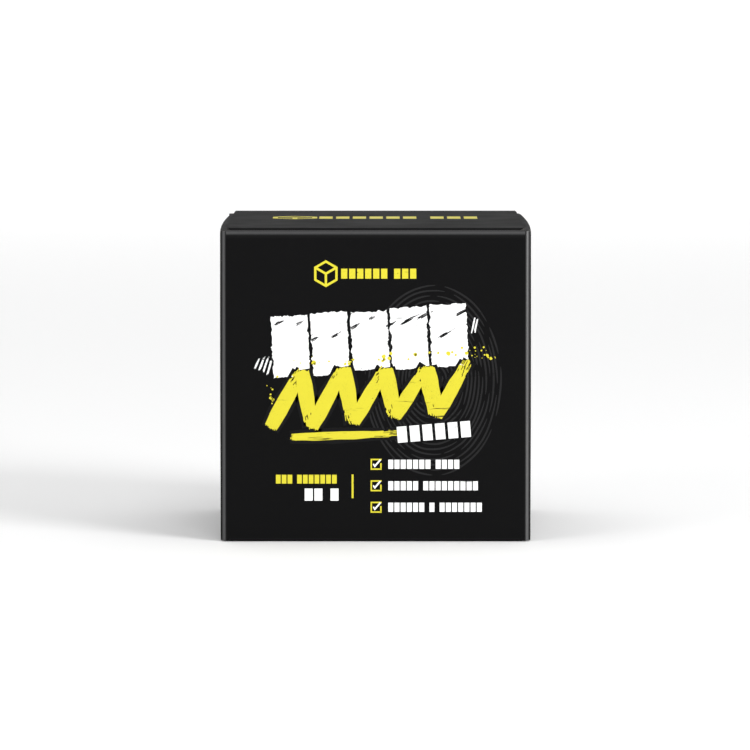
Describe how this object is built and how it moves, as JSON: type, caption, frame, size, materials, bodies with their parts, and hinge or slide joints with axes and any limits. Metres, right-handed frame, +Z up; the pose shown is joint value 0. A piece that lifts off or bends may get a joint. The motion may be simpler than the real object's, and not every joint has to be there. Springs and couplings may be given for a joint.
{
  "type": "gymnastics chalk block",
  "caption": "Pressed block of gymnastics chalk in a cube-shaped folding carton whose top and bottom lids tuck in and swing open; the block lifts out.",
  "frame": {"origin": "centre of the carton's footprint, on the face it stands on", "axes": "+Z up through the top lid, -Y out of the printed front wall, +X to the right as seen from the front"},
  "size_m": [0.056, 0.056, 0.0567],
  "materials": {
    "printed_board": "satin",
    "glue": "matte",
    "chalk": "matte",
    "white_ink": "satin",
    "yellow_ink": "satin",
    "grey_ink": "satin"
  },
  "bodies": {
    "carton": {"front_panel": "printed_board", "back_panel": "printed_board", "left_panel": "printed_board", "right_panel": "printed_board", "glue_flap": "printed_board", "glue_line": "glue", "front_print_white": "white_ink", "front_print_yellow": "yellow_ink", "front_print_rings": "grey_ink"},
    "top_lid": {"top_lid": "printed_board", "lid_print": "yellow_ink"},
    "top_tuck_flap": {"top_tuck_flap": "printed_board"},
    "top_dust_flap_left": {"top_dust_flap_left": "printed_board"},
    "top_dust_flap_right": {"top_dust_flap_right": "printed_board"},
    "bottom_lid": {"bottom_lid": "printed_board"},
    "bottom_tuck_flap": {"bottom_tuck_flap": "printed_board"},
    "bottom_dust_flap_left": {"bottom_dust_flap_left": "printed_board"},
    "bottom_dust_flap_right": {"bottom_dust_flap_right": "printed_board"},
    "chalk_block": {"chalk_block": "chalk"}
  },
  "joints": [
    {"name": "top_lid_hinge", "type": "hinge", "parent": "carton", "child": "top_lid", "pos_m": [0, 0.028, 0.0567], "axis": [-1, 0, 0], "range_deg": [0, 179]},
    {"name": "top_tuck_crease", "type": "hinge", "parent": "top_lid", "child": "top_tuck_flap", "pos_m": [0, -0.0272, 0.0567], "axis": [-1, 0, 0], "range_deg": [0, 27]},
    {"name": "top_dust_crease_left", "type": "hinge", "parent": "carton", "child": "top_dust_flap_left", "pos_m": [-0.028, 0, 0.05615], "axis": [0, -1, 0], "range_deg": [0, 153]},
    {"name": "top_dust_crease_right", "type": "hinge", "parent": "carton", "child": "top_dust_flap_right", "pos_m": [0.028, 0, 0.05615], "axis": [0, 1, 0], "range_deg": [0, 153]},
    {"name": "bottom_lid_hinge", "type": "hinge", "parent": "carton", "child": "bottom_lid", "pos_m": [0, -0.028, 0], "axis": [-1, 0, 0], "range_deg": [0, 179.98]},
    {"name": "bottom_tuck_crease", "type": "hinge", "parent": "bottom_lid", "child": "bottom_tuck_flap", "pos_m": [0, 0.0272, 0], "axis": [-1, 0, 0], "range_deg": [0, 27]},
    {"name": "bottom_dust_crease_left", "type": "hinge", "parent": "carton", "child": "bottom_dust_flap_left", "pos_m": [-0.028, 0, 0.00055], "axis": [0, 1, 0], "range_deg": [0, 153]},
    {"name": "bottom_dust_crease_right", "type": "hinge", "parent": "carton", "child": "bottom_dust_flap_right", "pos_m": [0.028, 0, 0.00055], "axis": [0, -1, 0], "range_deg": [0, 153]},
    {"name": "chalk_lift", "type": "slide", "parent": "carton", "child": "chalk_block", "axis": [0, 0, 1], "range_m": [0, 0.02]}
  ],
  "couplings": [
    {"joint": "top_lid_hinge", "follows": "chalk_lift", "rad_per_m": 156.2},
    {"joint": "top_tuck_crease", "follows": "chalk_lift", "rad_per_m": 23.56},
    {"joint": "top_dust_crease_left", "follows": "chalk_lift", "rad_per_m": 133.5},
    {"joint": "top_dust_crease_right", "follows": "chalk_lift", "rad_per_m": 133.5},
    {"joint": "bottom_tuck_crease", "follows": "bottom_lid_hinge", "ratio": 0.15},
    {"joint": "bottom_dust_crease_left", "follows": "bottom_lid_hinge", "ratio": 0.85},
    {"joint": "bottom_dust_crease_right", "follows": "bottom_lid_hinge", "ratio": 0.85}
  ]
}
